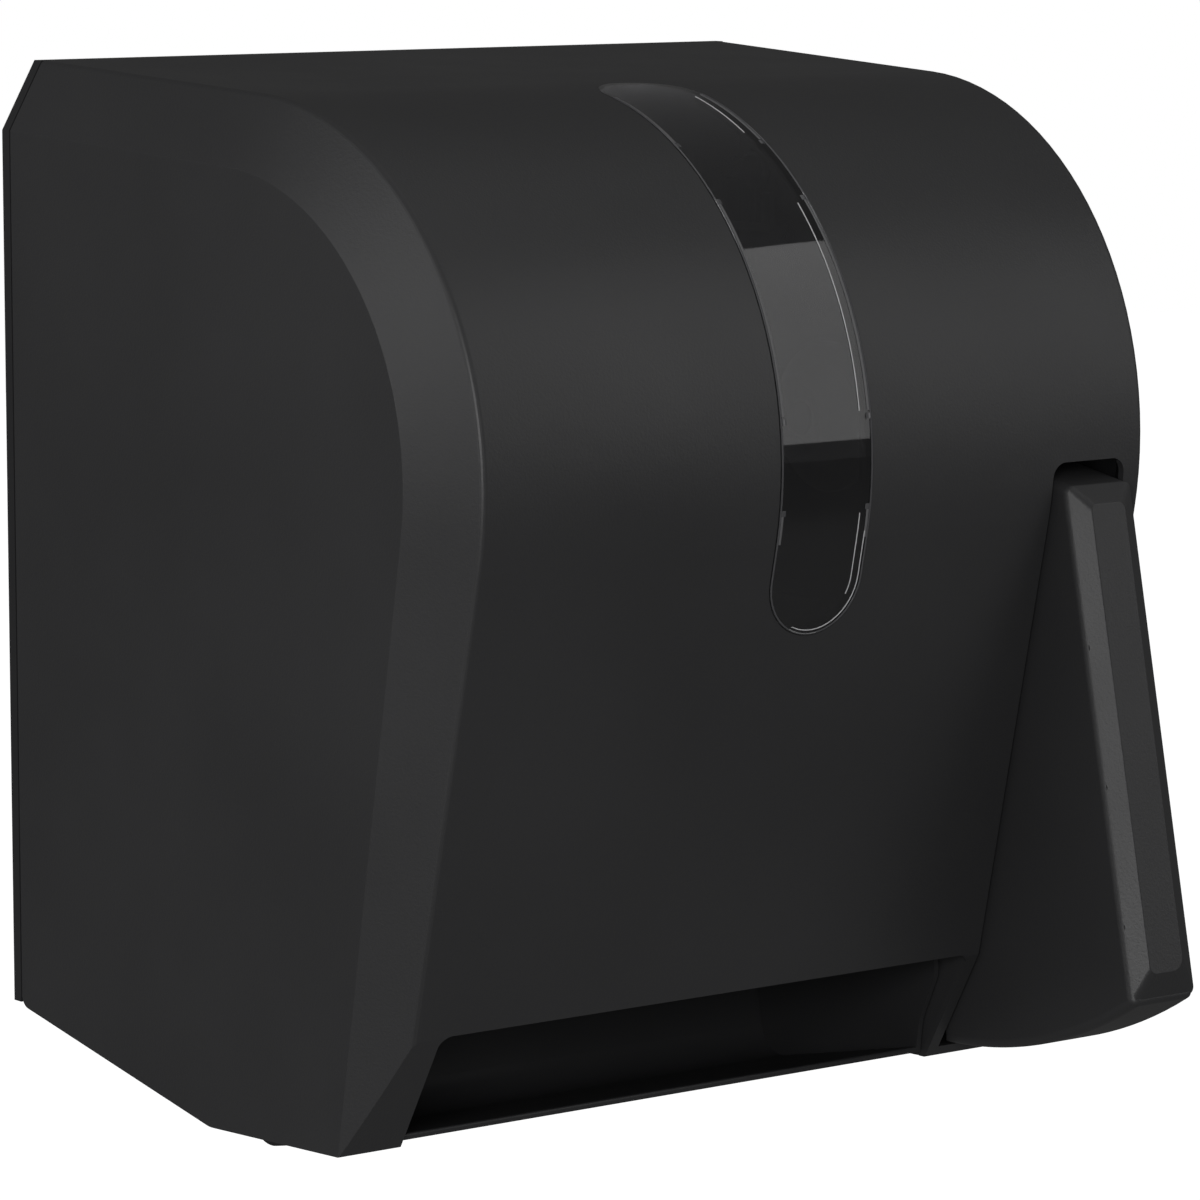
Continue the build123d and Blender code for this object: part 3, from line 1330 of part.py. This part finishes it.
# ---------------------------------------------------------------- the whole dispenser
os.makedirs("parts", exist_ok=True)
write("cover_shell", cover_shell())
write("viewing_window", viewing_window())
write("window_retainer", window_retainer())
write("lock_barrel", lock_barrel())
write("lock_plug", lock_plug())
write("lock_cam", lock_cam())
write("lock_strike", lock_strike())
write("back_plate", back_plate())
write("hinge_pins", hinge_pins())
write("left_frame", left_frame())
write("right_frame", right_frame())
write("outer_frame", outer_frame_plate())
write("tie_bar", tie_bar())
write("feed_bushes", feed_bushes())
write("lever_paddle", lever_paddle())
write("lever_sector_gear", sector_gear())
write("lever_pivot_pin", pivot_pin())
write("lever_pivot_washer", pivot_washer())
write("lever_return_spring", return_spring())
write("lever_stop_buffer", lever_stop()[0])
write("lever_pin_clip", snap_ring(pivot, pivot_pin_radius - clip_groove, outer_frame_right + clip_back))
write("feed_shaft_clip", snap_ring(feed, shaft_radius - clip_groove, outer_frame_right + bush_flange + 0.8))
write("clutch_pinion", clutch_pinion())
write("one_way_clutch", one_way_clutch())
write("feed_shaft", feed_shaft())
write("feed_drum", feed_drum())
write("feed_sleeves", feed_sleeves())
write("feed_knob", feed_knob())
write("pinch_shaft", pinch_shaft())
write("pinch_rollers", pinch_rollers())
write("pinch_blocks", pinch_blocks())
write("pinch_springs", pinch_springs())
write("left_roll_arm", left_arm())
write("right_roll_arm", right_arm())
write("left_roll_hub", mirrored(right_hub()))
write("right_roll_hub", right_hub())
write("left_hub_axle", mirrored(right_axle()))
write("right_hub_axle", right_axle())
write("roll_arm_pin", arm_pin())
write("roll_arm_spring", arm_spring())
write("outlet_chute", outlet_chute())
write("paper_guide", paper_guide())
write("tear_bar", tear_bar())
write("frame_screws", frame_screws())
write("guide_and_chute_screws", guide_and_chute_screws())
write("tear_bar_screws", tear_bar_screws())
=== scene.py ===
import bpy
from math import cos, radians, sin
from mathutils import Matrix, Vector


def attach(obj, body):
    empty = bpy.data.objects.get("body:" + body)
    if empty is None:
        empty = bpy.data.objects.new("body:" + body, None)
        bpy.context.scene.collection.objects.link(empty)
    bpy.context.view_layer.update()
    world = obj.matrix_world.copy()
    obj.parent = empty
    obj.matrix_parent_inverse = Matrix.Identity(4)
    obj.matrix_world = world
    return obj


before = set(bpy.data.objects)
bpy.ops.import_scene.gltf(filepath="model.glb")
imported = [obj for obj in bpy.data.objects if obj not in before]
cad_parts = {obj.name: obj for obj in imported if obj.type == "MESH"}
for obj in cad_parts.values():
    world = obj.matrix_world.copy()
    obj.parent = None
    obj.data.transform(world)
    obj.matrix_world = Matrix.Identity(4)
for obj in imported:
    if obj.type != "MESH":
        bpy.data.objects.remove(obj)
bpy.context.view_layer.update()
bpy.ops.object.select_all(action="DESELECT")
scene = bpy.context.scene
scene.view_settings.view_transform = "Standard"

# ---------------------------------------------------------------- studio
# The dispenser hangs free in front of a plain pale floor and an even white background.
# One long lens looks at it from the left front, a little from above.
camera_yaw, camera_pitch = 37.592, 7.718
lens = bpy.data.cameras.new("long_lens")
lens.lens = 169.4
lens.sensor_width = 36.0
lens.shift_x = -0.0033
lens.shift_y = 0.00096
lens.clip_start = 0.1
lens.clip_end = 40.0
camera = bpy.data.objects.new("camera", lens)
camera.location = (-1.2141, -1.7065, 0.2474)
camera.rotation_euler = (radians(90.0 - camera_pitch), 0.0, radians(-camera_yaw))
scene.collection.objects.link(camera)
scene.camera = camera


def softbox(name, place, aim, width, height, power):
    """A rectangular lamp behind a diffuser, turned towards the point it lights."""
    panel = bpy.data.lights.new(name, "AREA")
    panel.shape = "RECTANGLE"
    panel.size = width
    panel.size_y = height
    panel.energy = power
    lamp = bpy.data.objects.new(name, panel)
    lamp.location = place
    lamp.rotation_euler = (Vector(aim) - Vector(place)).to_track_quat("-Z", "Y").to_euler()
    scene.collection.objects.link(lamp)


softbox("lamp_front", (-1.70, -2.10, 0.50), (0.0, -0.13, 0.0), 0.85, 0.85, 28.5)
softbox("lamp_left", (-2.16, 0.14, 0.72), (0.0, -0.13, 0.05), 0.9, 1.6, 13.5)
softbox("lamp_right", (1.313, -1.49, 0.843), (0.0, -0.24, 0.08), 1.0, 1.774, 7.4)
softbox("lamp_top", (0.55, -0.35, 2.0), (0.0, -0.13, 0.0), 1.2, 1.2, 2.6)

bpy.ops.mesh.primitive_plane_add(size=14.0, location=(0.0, 0.0, -0.75))
floor = bpy.context.object
floor.name = "studio_floor"
pale = bpy.data.materials.new("pale_floor")
pale.use_nodes = True
tree = pale.node_tree
tree.nodes.clear()
out = tree.nodes.new("ShaderNodeOutputMaterial")
matt = tree.nodes.new("ShaderNodeBsdfDiffuse")
matt.inputs["Color"].default_value = (0.30, 0.30, 0.30, 1.0)
glow = tree.nodes.new("ShaderNodeEmission")
rays = tree.nodes.new("ShaderNodeLightPath")
added = tree.nodes.new("ShaderNodeAddShader")
tree.links.new(rays.outputs["Is Camera Ray"], glow.inputs["Strength"])
tree.links.new(matt.outputs[0], added.inputs[0])
tree.links.new(glow.outputs[0], added.inputs[1])
tree.links.new(added.outputs[0], out.inputs["Surface"])
floor.data.materials.append(pale)

world = bpy.data.worlds.new("white_surround")
scene.world = world
world.use_nodes = True
tree = world.node_tree
tree.nodes.clear()
out = tree.nodes.new("ShaderNodeOutputWorld")
sky = tree.nodes.new("ShaderNodeBackground")
rays = tree.nodes.new("ShaderNodeLightPath")
seen = tree.nodes.new("ShaderNodeMath")
seen.operation = "MAXIMUM"
glossy = tree.nodes.new("ShaderNodeMath")
glossy.operation = "MULTIPLY"
strength = tree.nodes.new("ShaderNodeMapRange")
strength.inputs["To Min"].default_value = 0.20
strength.inputs["To Max"].default_value = 1.0
dim = tree.nodes.new("ShaderNodeMath")
dim.operation = "SUBTRACT"
tree.links.new(rays.outputs["Is Camera Ray"], seen.inputs[0])
tree.links.new(rays.outputs["Is Transmission Ray"], seen.inputs[1])
tree.links.new(seen.outputs[0], strength.inputs["Value"])
tree.links.new(rays.outputs["Is Glossy Ray"], glossy.inputs[0])
glossy.inputs[1].default_value = 0.11
tree.links.new(strength.outputs["Result"], dim.inputs[0])
tree.links.new(glossy.outputs[0], dim.inputs[1])
tree.links.new(dim.outputs[0], sky.inputs["Strength"])
sky.inputs["Color"].default_value = (1.0, 1.0, 1.0, 1.0)
tree.links.new(sky.outputs[0], out.inputs["Surface"])

# ---------------------------------------------------------------- back plate
# Flat moulded ABS plate that is screwed to the wall and carries everything else.
# Satin black, with a shallow spark-eroded grain and faint flow marks.


def moulded_plastic(name, colour, spread, roughness, grain_scale, grain_depth, specular=0.5):
    """Moulded plastic: fine grain in relief, and cloudy colour and gloss."""
    material = bpy.data.materials.new(name)
    material.use_nodes = True
    nodes, links = material.node_tree.nodes, material.node_tree.links
    shader = nodes["Principled BSDF"]
    shader.inputs["Specular IOR Level"].default_value = specular
    place = nodes.new("ShaderNodeTexCoord")
    grain = nodes.new("ShaderNodeTexNoise")
    grain.inputs["Scale"].default_value = grain_scale
    grain.inputs["Detail"].default_value = 3.0
    grain.inputs["Roughness"].default_value = 0.6
    cloud = nodes.new("ShaderNodeTexNoise")
    cloud.inputs["Scale"].default_value = 9.0
    cloud.inputs["Detail"].default_value = 4.0
    shade = nodes.new("ShaderNodeMix")
    shade.data_type = "RGBA"
    shade.inputs["A"].default_value = (*[c * (1.0 - spread) for c in colour], 1.0)
    shade.inputs["B"].default_value = (*[c * (1.0 + spread) for c in colour], 1.0)
    mixed = nodes.new("ShaderNodeMath")
    mixed.operation = "MULTIPLY_ADD"
    mixed.inputs[1].default_value = 0.35
    gloss = nodes.new("ShaderNodeMapRange")
    gloss.inputs["From Min"].default_value = 0.3
    gloss.inputs["From Max"].default_value = 0.7
    gloss.inputs["To Min"].default_value = roughness - 0.05
    gloss.inputs["To Max"].default_value = roughness + 0.05
    relief = nodes.new("ShaderNodeBump")
    relief.inputs["Strength"].default_value = 1.0
    relief.inputs["Distance"].default_value = grain_depth
    for texture in (grain, cloud):
        links.new(place.outputs["Object"], texture.inputs["Vector"])
    links.new(grain.outputs["Fac"], mixed.inputs[0])
    links.new(cloud.outputs["Fac"], mixed.inputs[2])
    links.new(mixed.outputs[0], shade.inputs["Factor"])
    links.new(shade.outputs["Result"], shader.inputs["Base Color"])
    links.new(cloud.outputs["Fac"], gloss.inputs["Value"])
    links.new(gloss.outputs["Result"], shader.inputs["Roughness"])
    links.new(grain.outputs["Fac"], relief.inputs["Height"])
    links.new(relief.outputs["Normal"], shader.inputs["Normal"])
    return material


def dress(material, *names):
    """Gives a carried-over solid its finish."""
    for name in names:
        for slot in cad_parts[name].material_slots:
            slot.material = material


black_plastic = moulded_plastic(
    "black_plastic", (0.016, 0.016, 0.017), 0.15, 0.42, 1500.0, 0.00002)
dress(black_plastic, "back_plate")

# ---------------------------------------------------------------- cover
# Drop-down front shell in charcoal ABS, moulded in colour with a dense matt grain.
# It hangs on two pins low on the back plate and locks at the upper right.
charcoal_plastic = moulded_plastic(
    "charcoal_plastic", (0.0250, 0.0250, 0.0260), 0.16, 0.46, 1000.0, 0.00009, specular=0.42)
dress(charcoal_plastic, "cover_shell")

# ---------------------------------------------------------------- window and its retainer
# Smoked clear polycarbonate, polished, flush in a slot over the nose of the cover.
# A black frame behind it snaps over its rim.
smoked = bpy.data.materials.new("smoked_clear")
smoked.use_nodes = True
nodes, links = smoked.node_tree.nodes, smoked.node_tree.links
shader = nodes["Principled BSDF"]
shader.inputs["Transmission Weight"].default_value = 0.9
shader.inputs["IOR"].default_value = 1.48
place = nodes.new("ShaderNodeTexCoord")
ripple = nodes.new("ShaderNodeTexNoise")
ripple.inputs["Scale"].default_value = 35.0
ripple.inputs["Detail"].default_value = 1.0
haze = nodes.new("ShaderNodeMapRange")
haze.inputs["To Min"].default_value = 0.015
haze.inputs["To Max"].default_value = 0.05
tint = nodes.new("ShaderNodeMix")
tint.data_type = "RGBA"
tint.inputs["A"].default_value = (0.085, 0.085, 0.09, 1.0)
tint.inputs["B"].default_value = (0.125, 0.125, 0.13, 1.0)
wave = nodes.new("ShaderNodeBump")
wave.inputs["Strength"].default_value = 0.25
wave.inputs["Distance"].default_value = 0.0001
links.new(place.outputs["Object"], ripple.inputs["Vector"])
links.new(ripple.outputs["Fac"], haze.inputs["Value"])
links.new(ripple.outputs["Fac"], tint.inputs["Factor"])
links.new(ripple.outputs["Fac"], wave.inputs["Height"])
links.new(haze.outputs["Result"], shader.inputs["Roughness"])
links.new(tint.outputs["Result"], shader.inputs["Base Color"])
links.new(wave.outputs["Normal"], shader.inputs["Normal"])
dress(smoked, "viewing_window")
dress(black_plastic, "window_retainer")


# The nose is round about this axis down to the brow, and flat below it.
nose_y, nose_z = -0.1282, 0.037222
nose_axis = (0.0, nose_y, nose_z)
face_radius = 0.1250
head_angle, brow_angle = 75.0, -12.3
brow_down = (0.0, 0.2130, -0.9770)
foot_axis = (0.0, -0.9770, -0.2130)
foot_run = 0.01296
down = tuple(part * foot_run for part in brow_down)


def nose_point(x, radius, angle):
    """A point over the cover's rounded nose, its angle counted upwards from the front."""
    return (x, nose_y - radius * cos(radians(angle)), nose_z + radius * sin(radians(angle)))


def nose_rod(name, x, radius, start, end, wide, high, material):
    """A rod of round or oblong section, bent over the nose from one angle down to another."""
    bpy.ops.object.select_all(action="DESELECT")
    bpy.ops.mesh.primitive_circle_add(
        vertices=8, radius=0.5, fill_type="NGON", location=nose_point(x, radius, start),
        rotation=(-radians(start), 0.0, 0.0))
    rod = bpy.context.object
    rod.name = name
    bpy.ops.object.mode_set(mode="EDIT")
    bpy.ops.mesh.select_all(action="SELECT")
    bpy.ops.transform.resize(value=(wide, high, 1.0), orient_type="LOCAL",
                             center_override=nose_point(x, radius, start))
    bpy.ops.mesh.spin(steps=max(2, int((start - end) / 2.0)), angle=radians(end - start),
                      center=nose_axis, axis=(1.0, 0.0, 0.0))
    rod.data.materials.append(material)
    return rod


def close_rod(rod):
    """Normals outward, soft sides, and the mesh laid down in the shared frame."""
    bpy.ops.mesh.select_all(action="SELECT")
    bpy.ops.mesh.normals_make_consistent(inside=False)
    bpy.ops.object.mode_set(mode="OBJECT")
    bpy.ops.object.transform_apply(location=True, rotation=True, scale=True)
    bpy.ops.object.shade_smooth_by_angle(angle=radians(40.0))
    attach(rod, "cover")


def copy_piece(piece, name, across, turn):
    """A copy with its own mesh, moved across the window and turned down round the nose."""
    bpy.ops.object.select_all(action="DESELECT")
    piece.select_set(True)
    bpy.context.view_layer.objects.active = piece
    bpy.ops.object.duplicate(linked=False)
    twin = bpy.context.object
    twin.name = name
    bpy.ops.object.mode_set(mode="EDIT")
    bpy.ops.mesh.select_all(action="SELECT")
    bpy.ops.transform.translate(value=(across, 0.0, 0.0))
    if turn:
        bpy.ops.transform.rotate(value=radians(-turn), orient_axis="X", orient_type="GLOBAL",
                                 center_override=nose_axis)
    bpy.ops.object.mode_set(mode="OBJECT")
    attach(twin, "cover")


# The window's polished edge stands up as a fine bead that runs down one side, round the
# foot and up the other side.
edge_clear = smoked.copy()
edge_clear.name = "polished_edge"
edge_shader = edge_clear.node_tree.nodes["Principled BSDF"]
edge_shader.inputs["Transmission Weight"].default_value = 0.35
bead_thick = 0.0007
bead = nose_rod(
    "window_edge_bead", -0.0196, face_radius, head_angle, brow_angle, bead_thick, bead_thick, edge_clear)
bpy.ops.mesh.extrude_region_move(TRANSFORM_OT_translate={"value": down})
turn_centre = [a + b for a, b in zip(nose_point(0.0, face_radius, brow_angle), down)]
bpy.ops.mesh.spin(steps=24, angle=radians(-180.0), center=turn_centre, axis=foot_axis)
bpy.ops.mesh.extrude_region_move(TRANSFORM_OT_translate={"value": [-v for v in down]})
bpy.ops.mesh.spin(
    steps=44, angle=radians(head_angle - brow_angle), center=nose_axis, axis=(1.0, 0.0, 0.0))
close_rod(bead)

# Inside the bead the rim is frosted where it is held by the retainer, with small snap tabs
# between the held lengths. The right side is a mirror of the left.
frosted = moulded_plastic("frosted_rim", (0.105, 0.105, 0.108), 0.18, 0.55, 900.0, 0.00003)
rim_x = 0.0187
for stretch, start, end in (("top", head_angle, 58.5), ("front", 44.2, 8.0), ("low", -7.4, -12.0)):
    rim = nose_rod(f"rim_left_{stretch}", -rim_x, 0.12496, start, end, 0.0011, 0.0003, frosted)
    close_rod(rim)
    copy_piece(rim, f"rim_right_{stretch}", 2 * rim_x, 0.0)

tab_angle = 58.2
tab = nose_rod("tab_left_high", -rim_x, 0.12498, tab_angle, tab_angle - 0.9, 0.0026, 0.0005, edge_clear)
close_rod(tab)
copy_piece(tab, "tab_right_high", 2 * rim_x, 0.0)
for stretch, start in (("upper", 45.0), ("lower", 7.6), ("foot", -6.6)):
    copy_piece(tab, f"tab_left_{stretch}", 0.0, tab_angle - start)
    copy_piece(tab, f"tab_right_{stretch}", 2 * rim_x, tab_angle - start)

# The ledge the retainer snaps to shows through the window as a light line along the right; its pale
# colour is a painted highlight for the glint of light on the ledge.
ledge_painted_highlight = moulded_plastic("ledge_painted_highlight", (0.50, 0.50, 0.51), 0.12, 0.30, 900.0, 0.00001)
ledge_size = (0.00038, 0.00034)
for stretch, start, end in (("top", 74.0, 60.5), ("front", 43.5, 8.0)):
    close_rod(nose_rod(f"ledge_{stretch}", 0.0147, 0.12502, start, end, *ledge_size, ledge_painted_highlight))
for stretch, x, start, turn in (("low", 0.0152, -8.0, 25.0), ("foot", 0.0183, -11.0, 115.0)):
    rod = nose_rod(f"ledge_{stretch}", x, 0.12502, start, brow_angle, *ledge_size, ledge_painted_highlight)
    bpy.ops.mesh.extrude_region_move(TRANSFORM_OT_translate={"value": down})
    bpy.ops.mesh.spin(steps=16, angle=radians(turn), center=turn_centre, axis=foot_axis)
    close_rod(rod)

# ---------------------------------------------------------------- lock
# Cam lock through the cover's right wall: chromed barrel and plug, a plated cam that
# turns behind a plated hook screwed to the back plate.


def turned_metal(name, colour, roughness, grooves, depth, direction=(1.0, 30.0, 30.0)):
    """Metal with fine lines of the tool or the rolling, and a cloudy plated finish."""
    material = bpy.data.materials.new(name)
    material.use_nodes = True
    nodes, links = material.node_tree.nodes, material.node_tree.links
    shader = nodes["Principled BSDF"]
    shader.inputs["Metallic"].default_value = 1.0
    place = nodes.new("ShaderNodeTexCoord")
    turn = nodes.new("ShaderNodeMapping")
    turn.inputs["Scale"].default_value = direction
    lines = nodes.new("ShaderNodeTexNoise")
    lines.inputs["Scale"].default_value = grooves
    lines.inputs["Detail"].default_value = 3.0
    cloud = nodes.new("ShaderNodeTexNoise")
    cloud.inputs["Scale"].default_value = 40.0
    cloud.inputs["Detail"].default_value = 5.0
    shade = nodes.new("ShaderNodeMix")
    shade.data_type = "RGBA"
    shade.inputs["A"].default_value = (*[c * 0.82 for c in colour], 1.0)
    shade.inputs["B"].default_value = (*[min(c * 1.12, 1.0) for c in colour], 1.0)
    gloss = nodes.new("ShaderNodeMapRange")
    gloss.inputs["To Min"].default_value = roughness * 0.7
    gloss.inputs["To Max"].default_value = roughness * 1.3
    relief = nodes.new("ShaderNodeBump")
    relief.inputs["Strength"].default_value = 0.6
    relief.inputs["Distance"].default_value = depth
    links.new(place.outputs["Object"], turn.inputs["Vector"])
    links.new(turn.outputs["Vector"], lines.inputs["Vector"])
    links.new(place.outputs["Object"], cloud.inputs["Vector"])
    links.new(cloud.outputs["Fac"], shade.inputs["Factor"])
    links.new(cloud.outputs["Fac"], gloss.inputs["Value"])
    links.new(lines.outputs["Fac"], relief.inputs["Height"])
    links.new(shade.outputs["Result"], shader.inputs["Base Color"])
    links.new(gloss.outputs["Result"], shader.inputs["Roughness"])
    links.new(relief.outputs["Normal"], shader.inputs["Normal"])
    return material


chrome = turned_metal("chromed_zinc", (0.62, 0.62, 0.64), 0.14, 60.0, 0.00001)
plated_steel = turned_metal(
    "zinc_plated_sheet", (0.50, 0.51, 0.52), 0.34, 24.0, 0.00001, (4.0, 4.0, 60.0))
dress(chrome, "lock_barrel", "lock_plug")
dress(plated_steel, "lock_cam", "lock_strike")

# ---------------------------------------------------------------- hinge pins
# Two ground steel pins, headed inside, that carry the cover in the back plate's ears.
ground_steel = turned_metal("ground_steel", (0.56, 0.57, 0.58), 0.22, 90.0, 0.000008)
dress(ground_steel, "hinge_pins")

# ---------------------------------------------------------------- frames
# Three punched and bent plates of zinc-plated sheet, screwed to the back plate by their feet.
# A headed rod ties the two on the right, flanged nylon bushes carry the feed shaft.
dress(plated_steel, "left_frame", "right_frame", "outer_frame", "tie_bar")
nylon = moulded_plastic("natural_nylon", (0.66, 0.65, 0.60), 0.05, 0.40, 700.0, 0.00001)
dress(nylon, "feed_bushes")

# ---------------------------------------------------------------- lever
# Hollow push lever in the cover's charcoal plastic, with a raised bevelled bar on its front.
# It swings on a steel pin with a nylon washer and a spring clip, and a coiled spring returns it.
dress(charcoal_plastic, "lever_paddle")
spring_steel = turned_metal("drawn_spring_wire", (0.36, 0.36, 0.37), 0.28, 80.0, 0.000008)
dress(ground_steel, "lever_pivot_pin", "lever_pin_clip")
dress(nylon, "lever_pivot_washer")
dress(spring_steel, "lever_return_spring")

# ---------------------------------------------------------------- gears
# Moulded acetal sector keyed to the lever, and the pinion it drives, which holds a
# one-way needle clutch on the feed shaft. A rubber buffer stops the sector at rest.
acetal = moulded_plastic("natural_acetal", (0.72, 0.71, 0.66), 0.04, 0.34, 600.0, 0.00001)
dress(acetal, "lever_sector_gear", "clutch_pinion")
dress(ground_steel, "one_way_clutch")
rubber = moulded_plastic("black_rubber", (0.020, 0.020, 0.020), 0.25, 0.72, 900.0, 0.00005)
dress(rubber, "lever_stop_buffer")

# ---------------------------------------------------------------- feed roller
# Ground steel shaft, grey moulded drum, three grooved rubber sleeves and a fluted black
# knob at the left end. A spring clip holds the shaft at the right.
drum_plastic = moulded_plastic("grey_drum_plastic", (0.10, 0.10, 0.105), 0.10, 0.45, 900.0, 0.00002)
dress(ground_steel, "feed_shaft", "feed_shaft_clip")
dress(drum_plastic, "feed_drum")
dress(rubber, "feed_sleeves")
dress(black_plastic, "feed_knob")

# ---------------------------------------------------------------- pinch roller
# Three rubber rollers on a steel shaft. Nylon blocks slide in the frames' slots and two
# small springs press them up against the feed roller.
dress(rubber, "pinch_rollers")
dress(ground_steel, "pinch_shaft")
dress(nylon, "pinch_blocks")
dress(spring_steel, "pinch_springs")

# ---------------------------------------------------------------- roll holder
# Two black arms with natural plastic hubs that plug into the roll's core. The left arm
# swings out on an upright pin against a flat spring.
dress(black_plastic, "left_roll_arm", "right_roll_arm")
dress(nylon, "left_roll_hub", "right_roll_hub")
dress(ground_steel, "left_hub_axle", "right_hub_axle", "roll_arm_pin")
dress(spring_steel, "roll_arm_spring")

# ---------------------------------------------------------------- outlet
# Black chute that turns the paper forwards, a black guide above it and a toothed steel
# blade that cuts it.
blade_steel = turned_metal(
    "stainless_blade", (0.60, 0.60, 0.61), 0.24, 50.0, 0.000006, (60.0, 4.0, 4.0))
chute_plastic = moulded_plastic(
    "chute_plastic", (0.021, 0.021, 0.022), 0.12, 0.48, 1000.0, 0.00003, specular=0.36)
dress(chute_plastic, "outlet_chute", "paper_guide")
dress(blade_steel, "tear_bar")

# ---------------------------------------------------------------- screws
# Plated pan-head screws in the back plate, the guide, the chute and the blade.
screw_steel = turned_metal("plated_screw_steel", (0.46, 0.46, 0.47), 0.30, 70.0, 0.000008)
dress(screw_steel, "frame_screws", "guide_and_chute_screws", "tear_bar_screws")
